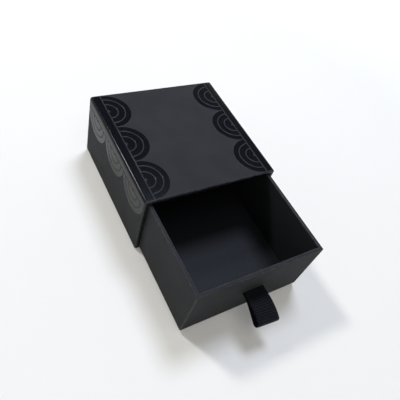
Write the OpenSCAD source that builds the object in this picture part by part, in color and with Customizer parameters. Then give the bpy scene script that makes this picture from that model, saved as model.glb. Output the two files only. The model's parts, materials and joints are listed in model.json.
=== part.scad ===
// Rigid drawer box: a board sleeve, closed at the back, and a tray drawer with a ribbon pull.
// The origin is the middle of the sleeve's underside, +Z is up and the drawer opens towards -Y.
// Lengths are in millimetres, angles in degrees.

/* [Sleeve] */
// Outside width of the sleeve, left to right
sleeve_w = 100; // [70:1:200]
// Outside depth of the sleeve, mouth to back
sleeve_d = 98; // [80:1:200]
// Outside height of the sleeve
sleeve_h = 52.5; // [46:0.5:120]

/* [Board and paper] */
// Thickness of the grey board in every wall
board_t = 2; // [1.2:0.1:3]
// Thickness of the laminated covering paper
wrap_t = 0.25; // [0.15:0.01:0.4]
// Thickness of the lining paper
liner_t = 0.2; // [0.1:0.01:0.4]
// Thickness of the paper tape that stays the drawer's corners
stay_t = 0.1; // [0.06:0.01:0.2]
// How far the covering turns over an edge onto the hidden side
turn_w = 14; // [6:1:18]
// Gap left round a sheet that lies inside a turned edge
trim_gap = 0.3; // [0.1:0.05:0.8]

/* [Drawer] */
// How far the drawer stands out of the sleeve
drawer_pull = 65; // [10:1:75]
// Gap between the drawer and each side of the sleeve
side_gap = 0.4; // [0.3:0.05:1]
// Gap under the drawer
under_gap = 0.3; // [0.2:0.05:0.8]
// Gap over the drawer's rim
top_gap = 1.3; // [0.5:0.1:4]
// Gap behind the closed drawer
back_gap = 0.6; // [0.3:0.1:2]
// Length of each leg of a corner stay
stay_leg = 12; // [6:0.5:20]
// How far a corner stay stops short of the rim and of the base
stay_short = 3; // [1:0.5:8]

/* [Ribbon pull] */
// Width of the ribbon
ribbon_w = 16; // [8:0.5:30]
// Thickness of the ribbon
ribbon_t = 0.5; // [0.3:0.05:0.8]
// How far the loop stands out of the drawer's front
ribbon_reach = 22; // [14:0.5:40]
// How far the middle of the loop's fold hangs below the slit
ribbon_sag = 4.5; // [0:0.5:8]
// Inside width of the fold at the loop's end
fold_gap = 3; // [1.5:0.1:3.8]
// Length over which the loop's two layers lie together
loop_neck = 3; // [1:0.5:8]
// Length of each tail glued behind the drawer's front
tail_l = 14; // [6:0.5:15]
// Clearance round the ribbon in its slit
slit_clear = 0.15; // [0.05:0.05:0.5]
// Running gap between the loop's root and the drawer's front
root_gap = 0.3; // [0.2:0.05:0.6]

/* [Magnets] */
// Diameter of each disc magnet
magnet_d = 10; // [6:0.5:14]
// Board left behind each magnet's pocket
pocket_floor = 0.5; // [0.2:0.1:1]
// Distance between the two magnets of a pair
magnet_pitch = 50; // [20:1:52]
// Clearance round each magnet in its pocket
magnet_clear = 0.05; // [0.02:0.01:0.2]

/* [Hidden] */
$fn = 48;
// How far a cut runs past the face that it opens
over = 1;

// Outside of the sleeve
half_w = sleeve_w / 2;
front_y = -sleeve_d / 2;
back_y = sleeve_d / 2;
edge_r = 2 * wrap_t;

// Outside and inside of the sleeve's board tube
tube_x = half_w - wrap_t;
tube_front = front_y + wrap_t;
tube_back = back_y - wrap_t;
tube_low = wrap_t;
tube_high = sleeve_h - wrap_t;
hollow_x = tube_x - board_t;
hollow_low = tube_low + board_t;
hollow_high = tube_high - board_t;
hollow_back = tube_back - board_t;

// Outside of the drawer, which lines up with the sleeve's mouth when it is shut
paper_t = max(wrap_t, liner_t);
drawer_x = hollow_x - paper_t - side_gap;
drawer_low = hollow_low + paper_t + under_gap;
drawer_high = hollow_high - paper_t - top_gap;
drawer_d = hollow_back - liner_t - back_gap - front_y;
drawer_front = front_y - drawer_pull;
drawer_back = drawer_front + drawer_d;

// Outside of the drawer's boards, under the covering and the stays
skin_t = wrap_t + stay_t;
tray_x = drawer_x - skin_t;
tray_front = drawer_front + skin_t;
tray_back = drawer_back - skin_t;
tray_low = drawer_low + wrap_t;
tray_floor = tray_low + board_t;
tray_high = drawer_high - wrap_t;

// Inside of the finished drawer
inside_x = tray_x - board_t - wrap_t;
inside_front = tray_front + board_t + wrap_t;
inside_back = tray_back - board_t - wrap_t;

// Slit for the ribbon, in the middle of the drawer's front
slit_z = (drawer_low + drawer_high) / 2;
slit_x = ribbon_w / 2 + slit_clear;
slit_half = ribbon_t + slit_clear;

// Loop of the ribbon: u runs out from its root's axis and v runs up
root_y = drawer_front - root_gap - ribbon_t;
fold_r = fold_gap / 2 + ribbon_t;
fold_u = ribbon_reach - root_gap - ribbon_t - fold_r;
fold_turn = atan(-2 * ribbon_sag / fold_u);
side_steps = 12;
fold_steps = 12;

// Pockets for the magnets
magnet_t = board_t - pocket_floor;
magnet_z = (drawer_low + drawer_high) / 2;

// Colours as they show
board_grey = [0.5, 0.48, 0.45];
wrap_black = [0.14, 0.14, 0.15];
liner_black = [0.09, 0.09, 0.1];
tape_brown = [0.6, 0.5, 0.38];
ribbon_black = [0.05, 0.05, 0.06];
magnet_nickel = [0.75, 0.75, 0.76];

// A block between two opposite corners
module block(low, high) {
    translate(low) cube(high - low);
}

// An outline drawn in X and Z, run along Y from one depth to another
module along_y(from_y, to_y) {
    translate([0, to_y, 0])
        rotate([90, 0, 0])
            linear_extrude(height = to_y - from_y)
                children();
}

// An outline drawn in Y and Z, run along X and centred on the middle of the box
module along_x(width) {
    rotate([90, 0, 90])
        linear_extrude(height = width, center = true)
            children();
}

// A rectangle with its four corners rounded
module round_rectangle(low, high, r) {
    translate([low.x + r, low.y]) square([high.x - low.x - 2 * r, high.y - low.y]);
    translate([low.x, low.y + r]) square([high.x - low.x, high.y - low.y - 2 * r]);
    for (x = [low.x + r, high.x - r], y = [low.y + r, high.y - r])
        translate([x, y]) circle(r);
}

// One magnet of each pair on either side of the middle, from one depth to another
module magnet_pair(d, from_y, to_y) {
    for (x = [-magnet_pitch / 2, magnet_pitch / 2])
        translate([x, to_y, magnet_z])
            rotate([90, 0, 0])
                cylinder(d = d, h = to_y - from_y);
}

// Boards of the sleeve, mitred along its four long edges
module sleeve_top_board() {
    color(board_grey)
        along_y(tube_front, tube_back)
            polygon([
                [-tube_x, tube_high], [tube_x, tube_high],
                [hollow_x, hollow_high], [-hollow_x, hollow_high]
            ]);
}

module sleeve_bottom_board() {
    color(board_grey)
        along_y(tube_front, tube_back)
            polygon([
                [-tube_x, tube_low], [tube_x, tube_low],
                [hollow_x, hollow_low], [-hollow_x, hollow_low]
            ]);
}

module sleeve_side_board(side) {
    color(board_grey)
        along_y(tube_front, tube_back)
            polygon([
                [side * tube_x, tube_low], [side * tube_x, tube_high],
                [side * hollow_x, hollow_high], [side * hollow_x, hollow_low]
            ]);
}

module sleeve_left_board() {
    sleeve_side_board(-1);
}

module sleeve_right_board() {
    sleeve_side_board(1);
}

// Back board, set in the tube's end, with its magnets' pockets towards the drawer
module sleeve_back_board() {
    color(board_grey)
        difference() {
            block([-hollow_x, hollow_back, hollow_low], [hollow_x, tube_back, hollow_high]);
            magnet_pair(magnet_d + 2 * magnet_clear, hollow_back - over, hollow_back + magnet_t);
        }
}

// Covering of the top and sides, turned in at the mouth and turned over onto the back
module sleeve_wrap() {
    mouth_x = hollow_x - wrap_t;
    mouth_low = hollow_low + wrap_t;
    mouth_high = hollow_high - wrap_t;
    turn_back = front_y + turn_w;
    color(wrap_black)
        difference() {
            union() {
                difference() {
                    along_y(front_y, back_y)
                        intersection() {
                            round_rectangle([-half_w, 0], [half_w, sleeve_h], edge_r);
                            translate([-half_w, tube_low]) square([sleeve_w, sleeve_h]);
                        }
                    block([-tube_x, tube_front, tube_low - over], [tube_x, tube_back, tube_high]);
                    block(
                        [turn_w - half_w, tube_back - over, turn_w],
                        [half_w - turn_w, back_y + over, sleeve_h - turn_w]
                    );
                }
                block([-hollow_x, tube_front, hollow_low], [hollow_x, turn_back, hollow_high]);
            }
            block([-mouth_x, front_y - over, mouth_low], [mouth_x, turn_back + over, mouth_high]);
        }
}

// Sheet under the sleeve, which the box stands on
module sleeve_base_sheet() {
    color(wrap_black)
        block([-half_w, front_y, 0], [half_w, back_y, tube_low]);
}

// Sheet laid on the back, inside the turned-over covering
module sleeve_back_sheet() {
    inset = turn_w + trim_gap;
    color(wrap_black)
        block([inset - half_w, tube_back, inset], [half_w - inset, back_y, sleeve_h - inset]);
}

// Lining of the sleeve's four walls, behind the turned-in covering
module sleeve_liner() {
    liner_front = front_y + turn_w + trim_gap;
    color(liner_black)
        difference() {
            block([-hollow_x, liner_front, hollow_low], [hollow_x, hollow_back, hollow_high]);
            block(
                [liner_t - hollow_x, liner_front - over, hollow_low + liner_t],
                [hollow_x - liner_t, hollow_back + over, hollow_high - liner_t]
            );
        }
}

// Lining of the back board, over its magnets
module sleeve_back_liner() {
    color(liner_black)
        block(
            [liner_t - hollow_x, hollow_back - liner_t, hollow_low + liner_t],
            [hollow_x - liner_t, hollow_back, hollow_high - liner_t]
        );
}

module sleeve_magnets() {
    color(magnet_nickel)
        magnet_pair(magnet_d, hollow_back, hollow_back + magnet_t);
}

// Boards of the drawer: walls standing on a full base, the front and back over the sides' ends
module drawer_bottom_board() {
    color(board_grey)
        block([-tray_x, tray_front, tray_low], [tray_x, tray_back, tray_floor]);
}

// Front board, with the ribbon's slit and the shallow beds of its tails
module drawer_front_board() {
    inner = tray_front + board_t;
    color(board_grey)
        difference() {
            block([-tray_x, tray_front, tray_floor], [tray_x, inner, tray_high]);
            block(
                [-slit_x, tray_front - over, slit_z - slit_half],
                [slit_x, inner + over, slit_z + slit_half]
            );
            block(
                [-slit_x, inner - ribbon_t, slit_z - tail_l - slit_clear],
                [slit_x, inner + over, slit_z + tail_l + slit_clear]
            );
        }
}

// Back board, with its magnets' pockets towards the sleeve's back
module drawer_back_board() {
    color(board_grey)
        difference() {
            block([-tray_x, tray_back - board_t, tray_floor], [tray_x, tray_back, tray_high]);
            magnet_pair(magnet_d + 2 * magnet_clear, tray_back - magnet_t, tray_back + over);
        }
}

module drawer_left_board() {
    color(board_grey)
        block(
            [-tray_x, tray_front + board_t, tray_floor],
            [board_t - tray_x, tray_back - board_t, tray_high]
        );
}

module drawer_right_board() {
    color(board_grey)
        block(
            [tray_x - board_t, tray_front + board_t, tray_floor],
            [tray_x, tray_back - board_t, tray_high]
        );
}

// A tape folded round each upright corner of the boards
module drawer_corner_stays() {
    middle_y = (tray_front + tray_back) / 2;
    reach_y = (tray_back - tray_front) / 2;
    low = tray_low + stay_short;
    high = tray_high - stay_short;
    color(tape_brown)
        translate([0, middle_y, 0])
            for (side = [0, 1], end = [0, 1])
                mirror([side, 0, 0])
                    mirror([0, end, 0]) {
                        block(
                            [tray_x, reach_y - stay_leg, low],
                            [tray_x + stay_t, reach_y + stay_t, high]
                        );
                        block(
                            [tray_x - stay_leg, reach_y, low],
                            [tray_x + stay_t, reach_y + stay_t, high]
                        );
                    }
}

// Covering of the drawer: outside, over the rim, down the inside and turned under the base
module drawer_wrap() {
    color(wrap_black)
        difference() {
            translate([0, 0, drawer_low])
                linear_extrude(height = drawer_high - drawer_low)
                    round_rectangle([-drawer_x, drawer_front], [drawer_x, drawer_back], edge_r);
            block(
                [-tray_x - stay_t, tray_front - stay_t, tray_low],
                [tray_x + stay_t, tray_back + stay_t, tray_floor]
            );
            difference() {
                block(
                    [-tray_x - stay_t, tray_front - stay_t, tray_low],
                    [tray_x + stay_t, tray_back + stay_t, tray_high]
                );
                block(
                    [board_t - tray_x, tray_front + board_t, tray_low - over],
                    [tray_x - board_t, tray_back - board_t, tray_high + over]
                );
            }
            block(
                [-inside_x, inside_front, tray_floor - over],
                [inside_x, inside_back, drawer_high + over]
            );
            block(
                [turn_w - drawer_x, drawer_front + turn_w, drawer_low - over],
                [drawer_x - turn_w, drawer_back - turn_w, tray_low + over]
            );
            block(
                [-slit_x, drawer_front - over, slit_z - slit_half],
                [slit_x, tray_front, slit_z + slit_half]
            );
        }
}

// Lining laid on the drawer's floor
module drawer_floor_liner() {
    color(liner_black)
        block(
            [trim_gap - inside_x, inside_front + trim_gap, tray_floor],
            [inside_x - trim_gap, inside_back - trim_gap, tray_floor + liner_t]
        );
}

// Sheet laid under the drawer, inside the turned-under covering
module drawer_base_sheet() {
    inset = turn_w + trim_gap;
    color(wrap_black)
        block(
            [inset - drawer_x, drawer_front + inset, drawer_low],
            [drawer_x - inset, drawer_back - inset, tray_low]
        );
}

module drawer_magnets() {
    color(magnet_nickel)
        magnet_pair(magnet_d, tray_back - magnet_t, tray_back);
}

// The ribbon's two ends, through the slit and glued up and down behind the front board
module ribbon_tails() {
    inner = tray_front + board_t;
    color(ribbon_black)
        for (up = [0, 1])
            translate([0, 0, slit_z])
                mirror([0, 0, up])
                    along_x(ribbon_w)
                        polygon([
                            [drawer_front, 0], [inner, 0], [inner, tail_l],
                            [inner - ribbon_t, tail_l], [inner - ribbon_t, ribbon_t],
                            [drawer_front, ribbon_t]
                        ]);
}

// Middle of the loop at u, as it sags
function loop_middle(u) = [u, -ribbon_sag * pow(u / fold_u, 2)];

// Direction square to the loop's middle at u, pointing up
function loop_square(u) =
    let (turn = atan(-2 * ribbon_sag * u / (fold_u * fold_u)))
    [-sin(turn), cos(turn)];

// Half the space between the loop's layers at u
function loop_half_gap(u) = fold_gap / 2 * sin(90 * max(0, (u - loop_neck) / (fold_u - loop_neck)));

// Outline of the loop down its upper side from u, round the fold and back along its lower side,
// standing off the space between the layers by a thickness
function loop_outline(from_u, thickness) =
    let (us = [for (i = [0 : side_steps]) from_u + (fold_u - from_u) * i / side_steps])
    concat(
        [for (u = us) loop_middle(u) + loop_square(u) * (loop_half_gap(u) + thickness)],
        [
            for (i = [1 : fold_steps - 1])
                let (a = fold_turn + 90 - 180 * i / fold_steps)
                loop_middle(fold_u) + (fold_gap / 2 + thickness) * [cos(a), sin(a)]
        ],
        [
            for (i = [side_steps : -1 : thickness > 0 ? 0 : 1])
                loop_middle(us[i]) - loop_square(us[i]) * (loop_half_gap(us[i]) + thickness)
        ]
    );

// The ribbon's free loop, with a round root that turns clear of the slit
module ribbon_loop() {
    color(ribbon_black)
        translate([0, root_y, slit_z]) {
            along_x(ribbon_w)
                mirror([1, 0])
                    difference() {
                        polygon(loop_outline(ribbon_t / 2, ribbon_t));
                        polygon(loop_outline(loop_neck, 0));
                    }
            rotate([0, 90, 0])
                cylinder(r = ribbon_t, h = ribbon_w, center = true);
        }
}

sleeve_top_board();
sleeve_bottom_board();
sleeve_left_board();
sleeve_right_board();
sleeve_back_board();
sleeve_wrap();
sleeve_base_sheet();
sleeve_back_sheet();
sleeve_liner();
sleeve_back_liner();
sleeve_magnets();
drawer_bottom_board();
drawer_front_board();
drawer_back_board();
drawer_left_board();
drawer_right_board();
drawer_corner_stays();
drawer_wrap();
drawer_floor_liner();
drawer_base_sheet();
drawer_magnets();
ribbon_tails();
ribbon_loop();
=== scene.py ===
import json
import math

import bmesh
import bpy
from mathutils import Matrix, Vector, noise


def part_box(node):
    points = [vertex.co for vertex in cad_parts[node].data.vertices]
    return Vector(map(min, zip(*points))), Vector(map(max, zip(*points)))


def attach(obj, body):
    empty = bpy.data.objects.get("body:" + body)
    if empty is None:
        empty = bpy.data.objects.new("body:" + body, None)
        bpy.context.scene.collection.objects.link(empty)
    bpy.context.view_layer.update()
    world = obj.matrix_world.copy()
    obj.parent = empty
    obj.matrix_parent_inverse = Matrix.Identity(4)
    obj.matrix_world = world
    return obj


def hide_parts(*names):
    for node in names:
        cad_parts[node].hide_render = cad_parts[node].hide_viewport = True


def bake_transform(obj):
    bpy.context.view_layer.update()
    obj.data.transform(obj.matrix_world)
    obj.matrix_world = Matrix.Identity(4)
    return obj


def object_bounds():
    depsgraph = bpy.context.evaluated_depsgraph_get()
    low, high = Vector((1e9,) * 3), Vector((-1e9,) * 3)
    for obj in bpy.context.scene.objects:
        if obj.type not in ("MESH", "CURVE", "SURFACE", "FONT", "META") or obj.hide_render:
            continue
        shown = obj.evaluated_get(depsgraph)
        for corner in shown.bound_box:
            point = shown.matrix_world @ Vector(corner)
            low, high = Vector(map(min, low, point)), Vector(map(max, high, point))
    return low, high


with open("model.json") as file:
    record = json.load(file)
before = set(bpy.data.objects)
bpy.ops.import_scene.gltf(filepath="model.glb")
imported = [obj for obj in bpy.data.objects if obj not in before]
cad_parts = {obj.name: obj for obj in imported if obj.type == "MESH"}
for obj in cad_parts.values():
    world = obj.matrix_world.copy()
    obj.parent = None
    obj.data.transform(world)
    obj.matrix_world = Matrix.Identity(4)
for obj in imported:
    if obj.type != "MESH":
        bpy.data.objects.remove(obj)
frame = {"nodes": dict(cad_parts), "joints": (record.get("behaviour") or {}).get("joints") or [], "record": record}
cadLow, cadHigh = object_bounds()
mm = 0.001
scene = bpy.context.scene
scene.view_settings.view_transform = "Standard"
print("frame loaded,", len(frame["nodes"]), "nodes")


# Small helpers

def toLinear(hexColour):
    channels = [int(hexColour[i:i + 2], 16) / 255 for i in (1, 3, 5)]
    return [c / 12.92 if c <= 0.04045 else ((c + 0.055) / 1.055) ** 2.4 for c in channels] + [1.0]


def addNode(tree, kind, inputs=None, **settings):
    node = tree.nodes.new("ShaderNode" + kind)
    for name, value in settings.items():
        setattr(node, name, value)
    for name, value in (inputs or {}).items():
        if isinstance(value, bpy.types.NodeSocket):
            tree.links.new(value, node.inputs[name])
        else:
            node.inputs[name].default_value = value
    return node


def newMaterial(name):
    material = bpy.data.materials.new(name)
    material.use_nodes = True
    material.node_tree.nodes.clear()
    return material, material.node_tree


def perMm(size):  # texture scale whose features are that many millimetres across
    return 1 / (size * mm)


def addPiece(name, mesh, material):
    piece = bpy.data.objects.new(name, mesh)
    scene.collection.objects.link(piece)
    mesh.materials.append(material)
    mesh.shade_smooth()
    mesh.set_sharp_from_angle(angle=math.radians(40))  # rounds stay smooth, cut edges crisp
    return piece


# Camera, where the photo's own camera stood

photoCamera = {
    "place": (-141.06, -181.07, 257.14),  # mm
    "turn": 45.13,  # degrees to the right of +Y
    "tilt": 49.23,  # degrees below level
    "roll": -22.1,
    "focalPixels": 431.68,
    "imagePixels": 400,
    "sensor": 36.0,
}


def addCamera(look):
    turn, tilt, roll = (math.radians(look[k]) for k in ("turn", "tilt", "roll"))
    ahead = Vector((math.cos(tilt) * math.sin(turn), math.cos(tilt) * math.cos(turn), -math.sin(tilt)))
    level = ahead.cross(Vector((0, 0, 1))).normalized()
    right = level * math.cos(roll) + ahead.cross(level) * math.sin(roll)
    axes = Matrix((right, right.cross(ahead), -ahead)).transposed()
    data = bpy.data.cameras.new("photoCamera")
    data.sensor_width = look["sensor"]
    data.lens = look["sensor"] * look["focalPixels"] / look["imagePixels"]
    data.clip_start = 0.01
    cameraObject = bpy.data.objects.new("photoCamera", data)
    scene.collection.objects.link(cameraObject)
    cameraObject.matrix_world = Matrix.Translation(Vector(look["place"]) * mm) @ axes.to_4x4()
    scene.camera = cameraObject


addCamera(photoCamera)
print("camera placed")


# Materials

paperLook = {
    "dark": "#1b1c1e", "light": "#212224", "worn": "#3a3b3f",
    "roughness": (0.71, 0.77), "polish": 0.3, "specular": 0.23,
}


def softTouchPaper(look):
    # Black art paper with a matt plastic film, pasted on board: an even satin sheen, faint fibre under
    # the film and slow waves from the paste, a little paler and smoother where a fold is rubbed
    material, tree = newMaterial("laminated_art_paper")
    place = addNode(tree, "TexCoord").outputs["Object"]
    clouds = addNode(tree, "TexNoise", {"Vector": place, "Scale": perMm(16), "Detail": 3.0})
    fibre = addNode(tree, "TexNoise", {  # real fibre is 0.1 mm
        "Vector": place, "Scale": perMm(1.1), "Detail": 4.0,
    })
    waves = addNode(tree, "TexNoise", {"Vector": place, "Scale": perMm(22), "Detail": 1.0})
    tone = addNode(tree, "ValToRGB", {"Fac": clouds.outputs["Fac"]})
    tone.color_ramp.elements[0].position = 0.35
    tone.color_ramp.elements[0].color = toLinear(look["dark"])
    tone.color_ramp.elements[1].position = 0.65
    tone.color_ramp.elements[1].color = toLinear(look["light"])
    rub = addNode(tree, "Attribute", attribute_name="edgeWear")
    speckle = addNode(tree, "TexNoise", {"Vector": place, "Scale": perMm(2.5), "Detail": 5.0})
    rubbed = addNode(tree, "MapRange", {
        "Value": speckle.outputs["Fac"], "From Min": 0.46, "From Max": 0.72,
    })
    share = addNode(tree, "Math", {
        0: rub.outputs["Fac"], 1: rubbed.outputs["Result"],
    }, operation="MULTIPLY")
    colour = addNode(tree, "Mix", data_type="RGBA")
    tree.links.new(share.outputs[0], colour.inputs["Factor"])
    tree.links.new(tone.outputs["Color"], colour.inputs[6])
    colour.inputs[7].default_value = toLinear(look["worn"])
    gloss = addNode(tree, "MapRange", {
        "Value": fibre.outputs["Fac"], "From Min": 0.3, "From Max": 0.7,
        "To Min": look["roughness"][0], "To Max": look["roughness"][1],
    })
    polished = addNode(tree, "Math", {  # rubbing smooths the film along the folds
        0: rub.outputs["Fac"], 1: -look["polish"], 2: gloss.outputs["Result"],
    }, operation="MULTIPLY_ADD")
    slow = addNode(tree, "Bump", {"Height": waves.outputs["Fac"], "Strength": 0.5, "Distance": 0.12 * mm})
    fine = addNode(tree, "Bump", {
        "Height": fibre.outputs["Fac"], "Strength": 0.35, "Distance": 0.03 * mm,
        "Normal": slow.outputs["Normal"],
    })
    shader = addNode(tree, "BsdfPrincipled", {
        "Base Color": colour.outputs[2], "Roughness": polished.outputs[0], "IOR": 1.5,
        "Specular IOR Level": look["specular"], "Normal": fine.outputs["Normal"],
    })
    addNode(tree, "OutputMaterial", {"Surface": shader.outputs["BSDF"]})
    return material


liningLook = {"dark": "#191a1d", "light": "#212226", "roughness": (0.5, 0.6), "specular": 0.12}


def liningPaper(look):
    # Uncoated black paper, dyed through: dull, with a soft felt-side fibre
    material, tree = newMaterial("uncoated_black_paper")
    place = addNode(tree, "TexCoord").outputs["Object"]
    fibre = addNode(tree, "TexNoise", {  # real fibre is 0.1 mm
        "Vector": place, "Scale": perMm(1.4), "Detail": 6.0,
    })
    tone = addNode(tree, "ValToRGB", {"Fac": fibre.outputs["Fac"]})
    tone.color_ramp.elements[0].position = 0.3
    tone.color_ramp.elements[0].color = toLinear(look["dark"])
    tone.color_ramp.elements[1].position = 0.7
    tone.color_ramp.elements[1].color = toLinear(look["light"])
    gloss = addNode(tree, "MapRange", {
        "Value": fibre.outputs["Fac"], "To Min": look["roughness"][0], "To Max": look["roughness"][1],
    })
    bump = addNode(tree, "Bump", {"Height": fibre.outputs["Fac"], "Strength": 0.5, "Distance": 0.05 * mm})
    shader = addNode(tree, "BsdfPrincipled", {
        "Base Color": tone.outputs["Color"], "Roughness": gloss.outputs["Result"], "IOR": 1.5,
        "Specular IOR Level": look["specular"], "Normal": bump.outputs["Normal"],
    })
    addNode(tree, "OutputMaterial", {"Surface": shader.outputs["BSDF"]})
    return material


varnishLook = {"dark": "#0c0d10", "light": "#101115", "roughness": (0.12, 0.2), "specular": 0.12}


def spotVarnish(look):
    # Clear lacquer screen-printed on the film and cured under lamps: a wet gloss, slight orange peel
    material, tree = newMaterial("cured_spot_varnish")
    place = addNode(tree, "TexCoord").outputs["Object"]
    peel = addNode(tree, "TexNoise", {"Vector": place, "Scale": perMm(2.4), "Detail": 2.0})
    tone = addNode(tree, "ValToRGB", {"Fac": peel.outputs["Fac"]})
    tone.color_ramp.elements[0].color = toLinear(look["dark"])
    tone.color_ramp.elements[1].color = toLinear(look["light"])
    gloss = addNode(tree, "MapRange", {
        "Value": peel.outputs["Fac"], "To Min": look["roughness"][0], "To Max": look["roughness"][1],
    })
    bump = addNode(tree, "Bump", {"Height": peel.outputs["Fac"], "Strength": 0.25, "Distance": 0.03 * mm})
    shader = addNode(tree, "BsdfPrincipled", {
        "Base Color": tone.outputs["Color"], "Roughness": gloss.outputs["Result"], "IOR": 1.5,
        "Specular IOR Level": look["specular"], "Normal": bump.outputs["Normal"],
    })
    addNode(tree, "OutputMaterial", {"Surface": shader.outputs["BSDF"]})
    return material


# dark is the painted shade of the grooves, light the painted sheen of the ribs
ribbonLook = {
    "dark": "#020203", "light": "#202127", "roughness": (0.62, 0.34), "specular": 0.06,
    "yarn": 0.5,  # mm, real yarns lie 0.2 mm apart
}


def grosgrain(look):
    # Black polyester ribbon woven with a thick weft, with warp yarns over the ribs; the colour follows rib height:
    # painted shade in the grooves and a painted sheen on the ribs
    material, tree = newMaterial("woven_polyester_grosgrain")
    place = addNode(tree, "TexCoord").outputs["Object"]
    yarn = addNode(tree, "TexWave", {
        "Vector": place, "Scale": math.pi / 10 / (look["yarn"] * mm), "Distortion": 0.6, "Detail": 1.0,
    }, wave_type="BANDS", bands_direction="X")
    lint = addNode(tree, "TexNoise", {"Vector": place, "Scale": perMm(1.5), "Detail": 4.0})
    crest = addNode(tree, "Attribute", attribute_name="ribCrestPaintedShade")
    weave = addNode(tree, "Math", {0: yarn.outputs["Fac"], 1: lint.outputs["Fac"]}, operation="ADD")
    paintedRibShade = addNode(tree, "Math", {0: weave.outputs[0], 1: crest.outputs["Fac"]}, operation="MULTIPLY")
    # painted shade and sheen: rib height times the yarn pattern sets the tone, dark in the grooves and light on
    # the ribs
    tone = addNode(tree, "ValToRGB", {"Fac": paintedRibShade.outputs[0]})
    tone.color_ramp.elements[0].color = toLinear(look["dark"])
    tone.color_ramp.elements[1].color = toLinear(look["light"])
    gloss = addNode(tree, "MapRange", {  # dull between the ribs, smoother on them
        "Value": crest.outputs["Fac"], "To Min": look["roughness"][0], "To Max": look["roughness"][1],
    })
    bump = addNode(tree, "Bump", {"Height": yarn.outputs["Fac"], "Strength": 0.5, "Distance": 0.04 * mm})
    shader = addNode(tree, "BsdfPrincipled", {
        "Base Color": tone.outputs["Color"], "Roughness": gloss.outputs["Result"], "IOR": 1.5,
        "Specular IOR Level": look["specular"], "Normal": bump.outputs["Normal"],
    })
    addNode(tree, "OutputMaterial", {"Surface": shader.outputs["BSDF"]})
    return material


boardLook = {"dark": "#6f6a61", "light": "#948e83", "fleck": "#4b4740"}


def greyBoard(look):
    # Board pressed from waste paper: dull grey-brown with darker flecks of old print
    material, tree = newMaterial("recycled_grey_board")
    place = addNode(tree, "TexCoord").outputs["Object"]
    pulp = addNode(tree, "TexNoise", {"Vector": place, "Scale": perMm(3), "Detail": 6.0})
    flecks = addNode(tree, "TexVoronoi", {"Vector": place, "Scale": perMm(2.5)})
    tone = addNode(tree, "ValToRGB", {"Fac": pulp.outputs["Fac"]})
    tone.color_ramp.elements[0].position = 0.35
    tone.color_ramp.elements[0].color = toLinear(look["dark"])
    tone.color_ramp.elements[1].position = 0.65
    tone.color_ramp.elements[1].color = toLinear(look["light"])
    spot = addNode(tree, "MapRange", {
        "Value": flecks.outputs["Distance"], "From Min": 0.12, "From Max": 0.2, "To Min": 0.8, "To Max": 0.0,
    })
    colour = addNode(tree, "Mix", data_type="RGBA")
    tree.links.new(spot.outputs["Result"], colour.inputs["Factor"])
    tree.links.new(tone.outputs["Color"], colour.inputs[6])
    colour.inputs[7].default_value = toLinear(look["fleck"])
    bump = addNode(tree, "Bump", {"Height": pulp.outputs["Fac"], "Strength": 0.6, "Distance": 0.08 * mm})
    shader = addNode(tree, "BsdfPrincipled", {
        "Base Color": colour.outputs[2], "Roughness": 0.85, "IOR": 1.5, "Normal": bump.outputs["Normal"],
    })
    addNode(tree, "OutputMaterial", {"Surface": shader.outputs["BSDF"]})
    return material


tapeLook = {"dark": "#8a7050", "light": "#a98c66"}


def gummedKraft(look):
    # Brown kraft tape with machine-direction fibre
    material, tree = newMaterial("gummed_kraft_tape")
    place = addNode(tree, "TexCoord").outputs["Object"]
    drawn = addNode(tree, "Mapping", {"Vector": place, "Scale": (1.0, 1.0, 0.15)})
    fibre = addNode(tree, "TexNoise", {"Vector": drawn.outputs["Vector"], "Scale": perMm(1.2), "Detail": 6.0})
    tone = addNode(tree, "ValToRGB", {"Fac": fibre.outputs["Fac"]})
    tone.color_ramp.elements[0].color = toLinear(look["dark"])
    tone.color_ramp.elements[1].color = toLinear(look["light"])
    bump = addNode(tree, "Bump", {"Height": fibre.outputs["Fac"], "Strength": 0.5, "Distance": 0.04 * mm})
    shader = addNode(tree, "BsdfPrincipled", {
        "Base Color": tone.outputs["Color"], "Roughness": 0.7, "IOR": 1.5, "Normal": bump.outputs["Normal"],
    })
    addNode(tree, "OutputMaterial", {"Surface": shader.outputs["BSDF"]})
    return material


nickelLook = {"dark": "#b9b5ad", "light": "#d2cec6", "roughness": (0.18, 0.32)}


def nickelPlate(look):
    # Barrel-plated nickel on a sintered magnet: bright, warm grey, faintly hazed by tumbling
    material, tree = newMaterial("nickel_plated_magnet")
    place = addNode(tree, "TexCoord").outputs["Object"]
    haze = addNode(tree, "TexNoise", {"Vector": place, "Scale": perMm(1.5), "Detail": 5.0})
    tone = addNode(tree, "ValToRGB", {"Fac": haze.outputs["Fac"]})
    tone.color_ramp.elements[0].color = toLinear(look["dark"])
    tone.color_ramp.elements[1].color = toLinear(look["light"])
    gloss = addNode(tree, "MapRange", {
        "Value": haze.outputs["Fac"], "To Min": look["roughness"][0], "To Max": look["roughness"][1],
    })
    shader = addNode(tree, "BsdfPrincipled", {
        "Base Color": tone.outputs["Color"], "Metallic": 1.0, "Roughness": gloss.outputs["Result"],
    })
    addNode(tree, "OutputMaterial", {"Surface": shader.outputs["BSDF"]})
    return material


coverPaper = softTouchPaper(paperLook)
innerPaper = liningPaper(liningLook)
glossVarnish = spotVarnish(varnishLook)
ribbonCloth = grosgrain(ribbonLook)
slotMaterials = {
    "grey_board": greyBoard(boardLook),
    "covering_paper": coverPaper,
    "lining_paper": innerPaper,
    "stay_tape": gummedKraft(tapeLook),
    "magnet_plating": nickelPlate(nickelLook),
    "ribbon": ribbonCloth,
}
print("materials made:", len(slotMaterials) + 1)


# The CAD nodes that stay: their own material, each in its own shape

def dressNodes():
    for row in frame["record"]["subparts"]:
        node = frame["nodes"][row["node"]]
        node.data.materials.clear()
        node.data.materials.append(slotMaterials[row["material_slot"]])


dressNodes()
print("CAD nodes dressed")


# Coverings: paper folded round board, as closed shells made of rounded rings

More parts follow.
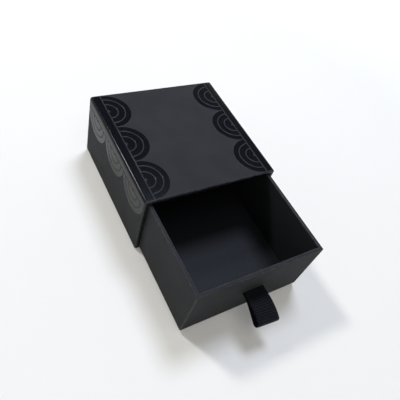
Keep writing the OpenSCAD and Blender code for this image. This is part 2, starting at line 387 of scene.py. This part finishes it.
def roundedRing(low, high, radius, cornerSteps, cuts):
    # Points of a rectangle with round corners, counter-clockwise from the low one, and each point's side
    middles = [
        (low[0] + radius, low[1] + radius), (high[0] - radius, low[1] + radius),
        (high[0] - radius, high[1] - radius), (low[0] + radius, high[1] - radius),
    ]
    points = []
    sides = []
    for corner in range(4):
        for step in range(cornerSteps + 1):
            angle = math.radians(180 + 90 * corner + 90 * step / cornerSteps)
            middle = middles[corner]
            points.append((middle[0] + radius * math.cos(angle), middle[1] + radius * math.sin(angle)))
            sides.append(corner if 2 * step > cornerSteps else (corner - 1) % 4)
        first = Vector(points[-1])
        angle = math.radians(180 + 90 * (corner + 1))
        middle = middles[(corner + 1) % 4]
        last = Vector((middle[0] + radius * math.cos(angle), middle[1] + radius * math.sin(angle)))
        for share in cuts[corner]:
            points.append(tuple(first.lerp(last, share)))
            sides.append(corner)
    return points, sides


def evenCuts(length, pitch, support):
    # Shares along a side: a line close to each end, and even ones between
    count = max(1, round(length / pitch))
    inner = [support + (length - 2 * support) * i / count for i in range(count + 1)]
    return [place / length for place in inner]


def quarter(start, end, steps, bulge):
    # Points of a quarter round from start to end, without its first point; bulge is the square corner
    points = []
    for step in range(1, steps + 1):
        angle = math.pi / 2 * step / steps
        along = 1 - math.cos(angle)
        across = math.sin(angle)
        points.append(tuple(
            s + (b - s) * across + (e - b) * along for s, e, b in zip(start, end, bulge)
        ))
    return points


def straight(start, end, pitch):
    # Points from start to end, without its first point
    length = math.dist(start, end)
    count = max(1, math.ceil(length / pitch))
    return [
        tuple(s + (e - s) * i / count for s, e in zip(start, end)) for i in range(1, count + 1)
    ]


def ringShell(name, rings, wear, holes=()):
    # A closed skin through rings of equal count, the last ring joined to the first
    mesh = bpy.data.meshes.new(name)
    skin = bmesh.new()
    layer = skin.verts.layers.float.new("edgeWear")
    grid = []
    for ring, rub in zip(rings, wear):
        row = []
        for point, worn in zip(ring, rub):
            vertex = skin.verts.new(point)
            vertex[layer] = worn
            row.append(vertex)
        grid.append(row)
    count = len(grid[0])
    left = set(holes)
    for j in range(len(grid)):
        below, above = grid[j], grid[(j + 1) % len(grid)]
        for i in range(count):
            if (j, i) not in left:
                k = (i + 1) % count
                skin.faces.new((below[i], below[k], above[k], above[i]))
    return mesh, skin, grid


def closeShell(mesh, skin):
    bmesh.ops.recalc_face_normals(skin, faces=skin.faces)
    skin.to_mesh(mesh)
    skin.free()
    return mesh


def addSlab(skin, top, bottom):
    # A closed slab between two grids of points of the same rows and columns
    upper = [[skin.verts.new(point) for point in row] for row in top]
    lower = [[skin.verts.new(point) for point in row] for row in bottom]
    rows, columns = len(upper), len(upper[0])
    for j in range(rows - 1):
        for i in range(columns - 1):
            skin.faces.new((upper[j][i], upper[j][i + 1], upper[j + 1][i + 1], upper[j + 1][i]))
            skin.faces.new((lower[j][i], lower[j + 1][i], lower[j + 1][i + 1], lower[j][i + 1]))
    border = [(0, i) for i in range(columns)] + [(j, columns - 1) for j in range(1, rows)]
    border += [(rows - 1, i) for i in range(columns - 2, -1, -1)] + [(j, 0) for j in range(rows - 2, 0, -1)]
    for (j, i), (m, n) in zip(border, border[1:] + border[:1]):
        skin.faces.new((upper[m][n], upper[j][i], lower[j][i], lower[m][n]))


sleeveBoards = {
    "ring": ("sleeve_bottom_board", "sleeve_right_board", "sleeve_top_board", "sleeve_left_board"),
    "edge": 1.8,  # mm, the mitred edges pressed round under the paper
    "steps": 6,
    "pitch": 8.0,
}


def makeSleeveBoard(node, place, look):
    # A mitred board: its outside follows the round edges, its inside is flat
    low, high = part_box("sleeve_bottom_board")[0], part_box("sleeve_top_board")[1]
    thick = high.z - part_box("sleeve_top_board")[0].z
    corners = [
        Vector((low.x, low.z)), Vector((high.x, low.z)),
        Vector((high.x, high.z)), Vector((low.x, high.z)),
    ]
    corner = corners[place]
    span = corners[(place + 1) % 4] - corner
    along = span.normalized()
    inward = Vector((-along.y, along.x))
    length = span.length
    edge = look["edge"] * mm
    outside = []  # (along, inward) from the middle of one mitre's round to the other's
    for step in range(look["steps"] + 1):
        angle = math.pi / 4 * (1 + step / look["steps"])
        outside.append((edge - edge * math.cos(angle), edge - edge * math.sin(angle)))
    other = [(length - a, d) for a, d in reversed(outside)]
    outside += straight(outside[-1], other[0], look["pitch"] * mm) + other[1:]
    first, last = outside[0][0], outside[-1][0]
    inside = []
    for a, _ in outside:
        share = (a - first) / (last - first)
        inside.append((thick + (length - 2 * thick) * share, thick))
    nodeLow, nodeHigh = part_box(node)
    lines = [(nodeLow.y,)] + straight((nodeLow.y,), (nodeHigh.y,), look["pitch"] * mm)

    def sheet(points):
        flat = [corner + along * a + inward * d for a, d in points]
        return [[(p.x, y, p.y) for p in flat] for (y,) in lines]

    mesh = bpy.data.meshes.new(node + "_pressed")
    skin = bmesh.new()
    addSlab(skin, sheet(outside), sheet(inside))
    closeShell(mesh, skin)
    piece = addPiece(node + "_pressed", mesh, slotMaterials["grey_board"])
    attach(piece, "sleeve")
    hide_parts(node)
    return piece


for boardPlace, boardNode in enumerate(sleeveBoards["ring"]):
    makeSleeveBoard(boardNode, boardPlace, sleeveBoards)
print("sleeve boards pressed")


sleeveCover = {
    "edge": 2.0,  # mm, round of the long edges
    "lip": 0.8,  # round of the mouth's outer edge
    "lipInside": 0.45,
    "backEdge": 0.6,
    "turnIn": 14.28,  # up to the lining
    "pitch": 8.0,  # spacing of the mesh on the flats
    "support": 0.5,  # line beside each round
    "steps": 6,
    "flapStep": 0.07,  # the side flaps lie over the others on the back
    "inner": 0.12,  # round of a corner on the board's side
}


def makeSleeveCover(look):
    low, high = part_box("sleeve_wrap")
    low.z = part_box("sleeve_base_sheet")[0].z
    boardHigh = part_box("sleeve_top_board")[1]
    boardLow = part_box("sleeve_top_board")[0]
    paper = high.z - boardHigh.z
    board = boardHigh.z - boardLow.z
    mouth = board + 2 * paper
    edge, lip, lipInside, backEdge = (look[k] * mm for k in ("edge", "lip", "lipInside", "backEdge"))
    turn, support, pitch = (look[k] * mm for k in ("turnIn", "support", "pitch"))
    front, back = low.y, high.y
    steps = look["steps"]
    section = [(0.0, back - backEdge)]  # (depth below the outside, y), back to front and round again
    section += [(0.0, back - backEdge - support)]
    section += straight(section[-1], (0.0, front + lip + support), pitch)
    section += [(0.0, front + lip)]
    roundLip = len(section)
    section += quarter(section[-1], (lip, front), steps, (0.0, front))
    section += straight(section[-1], (mouth - lipInside, front), pitch)
    section += quarter(section[-1], (mouth, front + lipInside), steps, (mouth, front))
    endLip = len(section)
    section += [(mouth, front + lipInside + support)]
    section += straight(section[-1], (mouth, front + turn), pitch)
    section += [(mouth - paper, front + turn)]
    section += straight(section[-1], (mouth - paper, front + paper), pitch)
    section += straight(section[-1], (lip, front + paper), pitch)
    section += quarter(section[-1], (paper, front + lip), steps, (paper, front + paper))
    section += straight(section[-1], (paper, back - paper), pitch)
    section += straight(section[-1], (turn, back - paper), pitch)
    section += [(turn, back)]
    backFace = len(section) - 1
    section += straight(section[-1], (backEdge + support, back), pitch)
    section += [(backEdge, back)]
    endBack = len(section)
    section += quarter(section[-1], (0.0, back - backEdge), steps, (0.0, back))[:-1]
    width, height = high.x - low.x, high.z - low.z
    cuts = [evenCuts(length, pitch, support) for length in (width, height, width, height)]
    rings = []
    wear = []
    for index, (depth, y) in enumerate(section):
        radius = max(edge - depth, look["inner"] * mm)
        ring, sides = roundedRing(
            (low.x + depth, low.z + depth), (high.x - depth, high.z - depth), radius, steps, cuts
        )
        lower = look["flapStep"] * mm if backFace <= index < endBack else 0.0
        rings.append([
            (x, y - (lower if side in (0, 2) else 0.0), z) for (x, z), side in zip(ring, sides)
        ])
        onFold = roundLip <= index < endLip or index >= endBack
        row = []
        for corner in range(4):
            row += [1.0 if depth < edge and 0 < s < steps else float(onFold) for s in range(steps + 1)]
            row += [float(onFold)] * len(cuts[corner])
        wear.append(row)
    mesh, skin, grid = ringShell("sleeve_cover", rings, wear)
    piece = addPiece("sleeve_cover", closeShell(mesh, skin), coverPaper)
    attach(piece, "sleeve")
    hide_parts("sleeve_wrap", "sleeve_base_sheet")
    return piece


makeSleeveCover(sleeveCover)
print("sleeve covered")


# Spot varnish: a plain border of fans along both long top edges, folded over the edge with the paper

fanBorder = {
    "film": 0.05,  # mm above the paper
    "sunk": 0.02,  # below it
    "slope": 0.08,  # width of the film's rounded margin
    "settle": 0.12,  # flat strip beside the margin, which keeps the shading even
    "band": 6.0,  # half width of the strip along the edge
    "gap": 0.7,  # bare line between the strip and the fans
    "fans": 3,
    "rings": ((1.2, 6.4), (7.1, 11.4), (12.1, 15.9)),  # radii of each fan's bands
    "endGap": 0.9,  # from the ends of the sleeve
    "pitch": 3.0,
    "bendSteps": 8,
}


def makeFanBorder(look):
    low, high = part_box("sleeve_wrap")
    edge = sleeveCover["edge"]
    bend = edge * math.pi / 4  # half the way round the edge
    axisX, axisZ = high.x / mm - edge, high.z / mm - edge
    first, last = low.y / mm + look["endGap"], high.y / mm - look["endGap"]

    def onSleeve(side, u, v, lift):
        # u runs across the edge from its middle, onto the top or down the side; v along it; all in mm
        if abs(u) <= bend:
            angle = math.pi / 4 + u / edge
            x, z = axisX + (edge + lift) * math.cos(angle), axisZ + (edge + lift) * math.sin(angle)
        elif u > 0:
            x, z = axisX - (u - bend), axisZ + edge + lift
        else:
            x, z = axisX + edge + lift, axisZ + (u + bend)
        return Vector((side * x, v, z)) * mm

    def withMargins(start, end, inner, scale=1.0):
        slope, settle = look["slope"] / scale, look["settle"] / scale
        near, far = start + slope + settle, end - slope - settle
        between = [p for p in inner if near < p < far]
        return [start, start + slope, near] + between + [far, end - slope, end]

    def addFilm(skin, side, across, along, place):
        # The film ends on the paper all round its margin
        top, bottom = [], []
        for j, a in enumerate(across):
            onEnd = [j in (0, len(across) - 1) or i in (0, len(along) - 1) for i in range(len(along))]
            lifts = [0.0 if ends else look["film"] for ends in onEnd]
            top.append([onSleeve(side, *place(a, b), lift) for b, lift in zip(along, lifts)])
            bottom.append([onSleeve(side, *place(a, b), -look["sunk"]) for b in along])
        addSlab(skin, top, bottom)

    mesh = bpy.data.meshes.new("fan_border")
    skin = bmesh.new()
    steps = look["bendSteps"]
    overEdge = [bend * (2 * i / steps - 1) for i in range(steps + 1)]
    length = last - first
    count = math.ceil(length / look["pitch"])
    lines = [first + length * i / count for i in range(1, count)]
    start = look["band"] + look["gap"]
    for side in (-1, 1):
        band = withMargins(-look["band"], look["band"], overEdge)
        addFilm(skin, side, band, withMargins(first, last, lines), lambda u, v: (u, v))
        for fan in range(look["fans"]):
            middle = first + length * (fan + 0.5) / look["fans"]
            for inner, outer in look["rings"]:
                turns = math.ceil(math.pi * outer / look["pitch"] * 2)
                inside = [math.pi * i / turns for i in range(1, turns)]
                angles = withMargins(0.0, math.pi, inside, inner)
                radii = withMargins(inner, outer, [])
                for way in (-1, 1):
                    addFilm(skin, side, radii, angles, lambda r, a: (
                        way * (start + r * math.sin(a)), middle + r * math.cos(a)
                    ))
    piece = addPiece("fan_border", closeShell(mesh, skin), glossVarnish)
    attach(piece, "sleeve")
    return piece


makeFanBorder(fanBorder)
print("border varnished")


drawerCover = {
    "corner": 0.7,  # mm, round of the upright corners
    "rim": 0.7,  # round of both edges of the rim
    "foot": 0.5,
    "turnUnder": 14.28,  # up to the base sheet
    "pitch": 8.0,
    "support": 0.4,
    "steps": 6,
    "flapStep": 0.07,  # the front and back strips lie over the side strips on the rim
    "slitPlay": 0.15,  # gap round the ribbon
    "slitHeight": 1.3,
    "inner": 0.12,
}


def makeDrawerCover(look):
    low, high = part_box("drawer_wrap")
    boardLow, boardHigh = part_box("drawer_front_board")
    paper = high.z - boardHigh.z
    skinDepth = boardLow.y - low.y  # paper and corner stay
    wall = skinDepth + (boardHigh.y - boardLow.y) + paper
    floor = boardLow.z
    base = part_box("drawer_bottom_board")[0].z
    ribbonLow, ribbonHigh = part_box("ribbon_tails")
    slitHalf = ribbonHigh.x + look["slitPlay"] * mm
    slitMiddle = (ribbonLow.z + ribbonHigh.z) / 2
    slitLow = slitMiddle - look["slitHeight"] * mm / 2
    slitHigh = slitMiddle + look["slitHeight"] * mm / 2
    corner, rim, foot = (look[k] * mm for k in ("corner", "rim", "foot"))
    turn, support, pitch = (look[k] * mm for k in ("turnUnder", "support", "pitch"))
    steps = look["steps"]
    section = [(0.0, low.z + foot), (0.0, low.z + foot + support)]  # (depth, z), up and round again
    section += straight(section[-1], (0.0, slitLow), pitch)
    outerSlit = len(section) - 1
    section += [(0.0, slitHigh)]
    section += straight(section[-1], (0.0, high.z - rim - support), pitch)
    section += [(0.0, high.z - rim)]
    startRim = len(section)
    section += quarter(section[-1], (rim, high.z), steps, (0.0, high.z))
    flatRim = len(section) - 1
    section += straight(section[-1], (wall - rim, high.z), pitch)
    endFlat = len(section)
    section += quarter(section[-1], (wall, high.z - rim), steps, (wall, high.z))
    endRim = len(section)
    section += [(wall, high.z - rim - support)]
    section += straight(section[-1], (wall, floor), pitch)
    section += [(wall - paper, floor)]
    section += straight(section[-1], (wall - paper, boardHigh.z), pitch)
    section += straight(section[-1], (paper, boardHigh.z), pitch)
    section += straight(section[-1], (paper, slitHigh), pitch)
    innerSlit = len(section) - 1
    section += [(paper, slitLow)]
    section += straight(section[-1], (paper, base), pitch)
    section += straight(section[-1], (turn, base), pitch)
    section += [(turn, low.z)]
    underFace = len(section) - 1
    section += straight(section[-1], (foot + support, low.z), pitch)
    section += [(foot, low.z)]
    endUnder = len(section)
    section += quarter(section[-1], (0.0, low.z + foot), steps, (0.0, low.z))[:-1]
    width, depthY = high.x - low.x, high.y - low.y
    sideCuts = evenCuts(depthY, pitch, support)
    straightFront = width - 2 * corner
    slitShares = [0.5 + slitHalf / straightFront * k for k in (-1, -0.5, 0, 0.5, 1)]
    clear = (slitHalf + pitch / 4) / straightFront
    frontCuts = [s for s in evenCuts(width, pitch, support) if abs(s - 0.5) > clear]
    frontCuts = sorted(frontCuts + slitShares)
    cuts = [frontCuts, sideCuts, evenCuts(width, pitch, support), sideCuts]
    slitStart = steps + 1 + frontCuts.index(slitShares[0])
    slitCells = range(slitStart, slitStart + len(slitShares) - 1)
    holes = [(j, i) for j in (outerSlit, innerSlit) for i in slitCells]
    rings = []
    wear = []
    for index, (depth, z) in enumerate(section):
        radius = max(corner - depth, look["inner"] * mm)
        ring, sides = roundedRing(
            (low.x + depth, low.y + depth), (high.x - depth, high.y - depth), radius, steps, cuts
        )
        step = look["flapStep"] * mm
        drop = step if flatRim <= index < endFlat else -step if underFace <= index < endUnder else 0.0
        rings.append([
            (x, y, z - (drop if side in (1, 3) else 0.0)) for (x, y), side in zip(ring, sides)
        ])
        onFold = startRim <= index < flatRim or endFlat <= index < endRim or index >= endUnder
        row = []
        for side in range(4):
            row += [1.0 if depth < corner and 0 < s < steps else float(onFold) for s in range(steps + 1)]
            row += [float(onFold)] * len(cuts[side])
        wear.append(row)
    mesh, skin, grid = ringShell("drawer_cover", rings, wear, holes)
    lowOuter, highOuter = grid[outerSlit], grid[outerSlit + 1]
    highInner, lowInner = grid[innerSlit], grid[innerSlit + 1]
    for i in slitCells:  # walls of the slit, from the outside of the paper to the board
        skin.faces.new((lowOuter[i], lowOuter[i + 1], lowInner[i + 1], lowInner[i]))
        skin.faces.new((highOuter[i + 1], highOuter[i], highInner[i], highInner[i + 1]))
    first, last = slitCells[0], slitCells[-1] + 1
    skin.faces.new((highOuter[first], lowOuter[first], lowInner[first], highInner[first]))
    skin.faces.new((lowOuter[last], highOuter[last], highInner[last], lowInner[last]))
    piece = addPiece("drawer_cover", closeShell(mesh, skin), coverPaper)
    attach(piece, "drawer")
    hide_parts("drawer_wrap")
    return piece


makeDrawerCover(drawerCover)
print("drawer covered")


floorLining = {
    "play": 0.03,  # mm, to the walls
    "round": 0.08,
    "pitch": 6.0,
    "swell": 0.06,  # slow rise and fall where the paste lies thick and thin
    "swellSize": 26.0,
}


def makeFloorLining(look):
    low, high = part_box("drawer_floor_liner")
    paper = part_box("drawer_wrap")[1].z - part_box("drawer_right_board")[1].z
    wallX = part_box("drawer_right_board")[0].x - paper - look["play"] * mm
    play = wallX - high.x
    firstY, lastY = low.y - play, high.y + play
    edge = look["round"] * mm

    def cuts(start, end):
        count = math.ceil((end - start) / (look["pitch"] * mm))
        inner = [start + edge + (end - start - 2 * edge) * i / count for i in range(count + 1)]
        return [start] + inner + [end]

    columns, rows = cuts(-wallX, wallX), cuts(firstY, lastY)
    top, bottom = [], []
    for j, y in enumerate(rows):
        bottom.append([Vector((x, y, low.z)) for x in columns])
        line = []
        for i, x in enumerate(columns):
            atEdge = j in (0, len(rows) - 1) or i in (0, len(columns) - 1)
            wave = noise.noise(Vector((x, y, 0.0)) / (look["swellSize"] * mm)) * look["swell"] * mm
            line.append(Vector((x, y, high.z + wave - (edge if atEdge else 0.0))))
        top.append(line)
    mesh = bpy.data.meshes.new("floor_lining")
    skin = bmesh.new()
    addSlab(skin, top, bottom)
    piece = addPiece("floor_lining", closeShell(mesh, skin), innerPaper)
    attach(piece, "drawer")
    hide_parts("drawer_floor_liner")
    return piece


makeFloorLining(floorLining)
print("drawer floor lined")


# Ribbon pull: one strip from its upper tail, out through the slit, round the loop and back

pullRibbon = {
    "thickness": 0.26,  # mm between ribs
    "rib": 0.2,  # height of a rib on each face
    "ribPitch": 1.6,  # real ribs lie about 1 mm apart
    "stepsPerRib": 8,
    "selvedge": 0.7,
    "layer": 0.5,  # room that each layer takes
    "bend": 0.5,  # round at the slit's inner edge
    "sag": 5.2,
    "foldGap": 4.4,
    "neck": 3.0,
    "skew": 0.6,  # how much further the right edge reaches than the middle
    "sideSteps": 60,
}


def ribbonPath(look):
    # Middle line of the strip as (y, z), from the end of the upper tail to the end of the lower tail
    root = Vector(next(j for j in frame["joints"] if j["name"] == "ribbon_bend")["pos_m"])
    tailLow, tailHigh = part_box("ribbon_tails")
    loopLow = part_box("ribbon_loop")[0]
    layer, gap, neck, sag, bend = (look[k] * mm for k in ("layer", "foldGap", "neck", "sag", "bend"))
    half = layer / 2
    foldOut = root.y - loopLow.y - gap / 2 - layer  # from the root to the middle of the fold
    steps = look["sideSteps"]

    def middle(u):
        return Vector((root.y - u, root.z - sag * (u / foldOut) ** 2))

    def square(u):
        lean = math.atan(-2 * sag * u / foldOut ** 2)
        return Vector((math.sin(lean), math.cos(lean)))

    def gapHalf(u):
        return gap / 2 * math.sin(math.pi / 2 * max(0.0, (u - neck) / (foldOut - neck)))

    reaches = [foldOut * i / steps for i in range(steps + 1)]
    behind = tailHigh.y - half
    upper = [Vector((behind, tailHigh.z)), Vector((behind, root.z + half + bend))]
    for step in range(1, 7):
        angle = math.pi / 2 * step / 6
        upper.append(Vector((
            behind - bend + bend * math.cos(angle), root.z + half + bend - bend * math.sin(angle)
        )))
    upper += [middle(u) + square(u) * (gapHalf(u) + half) for u in reaches]
    turn = math.atan(-2 * sag / foldOut)
    fold = []
    for step in range(1, 24):
        angle = math.pi / 2 + turn - math.pi * step / 24
        reach = gap / 2 + half
        centre = middle(foldOut)
        fold.append(Vector((centre.x - reach * math.cos(angle), centre.y + reach * math.sin(angle))))
    lower = [middle(u) - square(u) * (gapHalf(u) + half) for u in reversed(reaches)]
    for step in range(7):
        angle = math.pi / 2 * step / 6
        lower.append(Vector((
            behind - bend + bend * math.sin(angle), root.z - half - bend + bend * math.cos(angle)
        )))
    lower.append(Vector((behind, tailLow.z)))
    return upper + fold + lower


def evenPath(points, pitch):
    # The same line with points evenly spaced along it, and its length
    ends = [0.0]
    for a, b in zip(points, points[1:]):
        ends.append(ends[-1] + (b - a).length)
    count = round(ends[-1] / pitch)
    spaced = []
    part = 0
    for i in range(count + 1):
        reach = ends[-1] * i / count
        while part < len(points) - 2 and ends[part + 1] < reach:
            part += 1
        share = (reach - ends[part]) / (ends[part + 1] - ends[part])
        spaced.append(points[part].lerp(points[part + 1], min(1.0, share)))
    return spaced, ends[-1]


def makeRibbon(look):
    tailLow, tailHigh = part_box("ribbon_tails")
    halfWidth = tailHigh.x
    path, length = evenPath(ribbonPath(look), look["ribPitch"] * mm / look["stepsPerRib"])
    thin = look["thickness"] / 2 * mm
    rib = look["rib"] * mm
    selvedge = look["selvedge"] * mm
    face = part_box("drawer_wrap")[0].y
    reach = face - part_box("ribbon_loop")[0].y
    edgeIn = [selvedge * share for share in (0.0, 0.15, 0.7, 1.0, 1.35, 4.0)] + [halfWidth * 0.7]
    body = [0.4, 0.75, 0.8, 0.75, 1.0, 1.0, 1.0]
    ribShare = [0.0, 0.25, 0.25, 0.1, 1.0, 1.0, 1.0]
    columns = [(halfWidth - e, b, r) for e, b, r in zip(edgeIn, body, ribShare)]
    columns = columns + [(0.0, 1.0, 1.0)] + [(-x, b, r) for x, b, r in reversed(columns)]
    mesh = bpy.data.meshes.new("pull_ribbon")
    skin = bmesh.new()
    # rib height, which the ribbon material paints as shade in the grooves and a sheen on the ribs
    layer = skin.verts.layers.float.new("ribCrestPaintedShade")
    grid = []
    for index, point in enumerate(path):
        ahead = path[min(index + 1, len(path) - 1)] - path[max(index - 1, 0)]
        ahead.normalize()
        normal = Vector((-ahead.y, ahead.x))
        swell = abs(math.sin(math.pi * index / look["stepsPerRib"])) ** 0.7
        row = []
        for way in (1, -1):
            for x, bodyShare, ribPart in (columns if way > 0 else reversed(columns)):
                out = way * (thin * bodyShare + rib * ribPart * swell)
                atEdge = abs(x) > halfWidth - selvedge / 2
                wide = 1 + 0.006 * swell if atEdge else 1.0  # looped weft
                askew = look["skew"] * mm * x / halfWidth * max(0.0, (face - point.x) / reach)
                y, z = point + normal * out
                vertex = skin.verts.new((x * wide, y - askew, z))
                vertex[layer] = swell ** 2 * ribPart
                row.append(vertex)
        grid.append(row)
    count = len(grid[0])
    for below, above in zip(grid, grid[1:]):
        for i in range(count):
            k = (i + 1) % count
            skin.faces.new((below[i], below[k], above[k], above[i]))
    for row in (grid[0], grid[-1]):  # cut ends
        for i in range(len(columns) - 1):
            skin.faces.new((row[i], row[i + 1], row[count - 2 - i], row[count - 1 - i]))
    piece = addPiece("pull_ribbon", closeShell(mesh, skin), ribbonCloth)
    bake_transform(piece)
    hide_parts("ribbon_tails", "ribbon_loop")
    print("ribbon strip", round(length / mm, 1), "mm long")
    return piece


makeRibbon(pullRibbon)


# Floor and light

studio = {
    "floor": "#e2dfd6",
    "nearLift": 0.12,  # takes the lit floor to white round the box
    "farLift": 0.78,  # and the backdrop, where the lamps' light fails
    "liftRange": (0.3, 1.6),  # metres from the box
    "reach": 2.0,  # to the backdrop
    "sweep": 0.5,  # round between floor and backdrop
    "height": 1.3,
    "sides": 96,
    "drop": 0.05,  # mm below the box
    "world": "#bac5da",
    "worldStrength": 0.17,
}
softBoxes = {  # direction from the box, width in metres, and how white it alone makes a white card
    "key_soft_box": {"toward": (-0.34, 0.58, 0.74), "size": 0.27, "level": 0.34, "colour": "#fbfcff"},
    "sheen_soft_box": {"toward": (0.28, 0.3, 0.91), "size": 0.6, "level": 0.6, "colour": "#dbe5fd"},
    "fill_soft_box": {"toward": (-0.1, -0.3, 0.95), "size": 1.4, "level": 0.16, "colour": "#fffdf9"},
}
lampDistance = 1.8  # metres


def addFloor(look):
    # Matt white paper, lifted to white for the camera and in gloss; the shadow stays in it
    material, tree = newMaterial("white_paper_sweep")
    place = addNode(tree, "TexCoord").outputs["Object"]
    away = addNode(tree, "VectorMath", {0: place}, operation="LENGTH")
    lift = addNode(tree, "MapRange", {
        "Value": away.outputs["Value"],
        "From Min": look["liftRange"][0], "From Max": look["liftRange"][1],
        "To Min": look["nearLift"], "To Max": look["farLift"],
    })
    ray = addNode(tree, "LightPath").outputs
    bounced = addNode(tree, "Math", {
        0: ray["Is Glossy Ray"], 1: ray["Is Transmission Ray"],
    }, operation="MAXIMUM")
    seen = addNode(tree, "Math", {0: ray["Is Camera Ray"], 1: bounced.outputs[0]}, operation="MAXIMUM")
    paper = addNode(tree, "BsdfDiffuse", {"Color": toLinear(look["floor"])})
    glow = addNode(tree, "Emission", {"Strength": lift.outputs["Result"]})
    lit = addNode(tree, "AddShader")
    tree.links.new(paper.outputs[0], lit.inputs[0])
    tree.links.new(glow.outputs[0], lit.inputs[1])
    both = addNode(tree, "MixShader", {"Fac": seen.outputs[0]})
    tree.links.new(paper.outputs[0], both.inputs[1])
    tree.links.new(lit.outputs[0], both.inputs[2])
    addNode(tree, "OutputMaterial", {"Surface": both.outputs[0]})
    drop, reach, sweep = -look["drop"] * mm, look["reach"], look["sweep"]
    profile = [(look["liftRange"][0], drop), (reach - sweep, drop)]  # radius, height
    profile += quarter(profile[-1], (reach, drop + sweep), 12, (reach, drop))
    profile += [(reach, look["height"])]
    mesh = bpy.data.meshes.new("studio_floor")
    skin = bmesh.new()
    turns = [2 * math.pi * i / look["sides"] for i in range(look["sides"])]
    rings = [[skin.verts.new((r * math.cos(a), r * math.sin(a), z)) for a in turns] for r, z in profile]
    skin.faces.new(rings[0])
    for inner, outer in zip(rings, rings[1:]):
        for i in range(look["sides"]):
            skin.faces.new((inner[i - 1], outer[i - 1], outer[i], inner[i]))
    skin.to_mesh(mesh)
    skin.free()
    mesh.materials.append(material)
    mesh.shade_smooth()
    floor = bpy.data.objects.new("studio_floor", mesh)
    scene.collection.objects.link(floor)


def addWorld(look):
    world = bpy.data.worlds.new("studio")
    scene.world = world
    world.use_nodes = True
    tree = world.node_tree
    tree.nodes.clear()
    room = addNode(tree, "Background", {
        "Color": toLinear(look["world"]), "Strength": look["worldStrength"],
    })
    addNode(tree, "OutputWorld", {"Surface": room.outputs[0]})


def addSoftBox(name, look):
    aim = Vector(look["toward"]).normalized()
    light = bpy.data.lights.new(name, "AREA")
    light.shape = "DISK"
    light.size = look["size"]
    light.energy = look["level"] * math.pi ** 2 * (light.size ** 2 / 4 + lampDistance ** 2) / aim.z
    light.color = toLinear(look["colour"])[:3]
    lamp = bpy.data.objects.new(name, light)
    scene.collection.objects.link(lamp)
    lamp.location = (cadLow + cadHigh) / 2 + aim * lampDistance
    lamp.rotation_mode = "QUATERNION"
    lamp.rotation_quaternion = aim.to_track_quat("Z", "Y")


addFloor(studio)
addWorld(studio)
for lampName, lampLook in softBoxes.items():
    addSoftBox(lampName, lampLook)
print("studio lit")
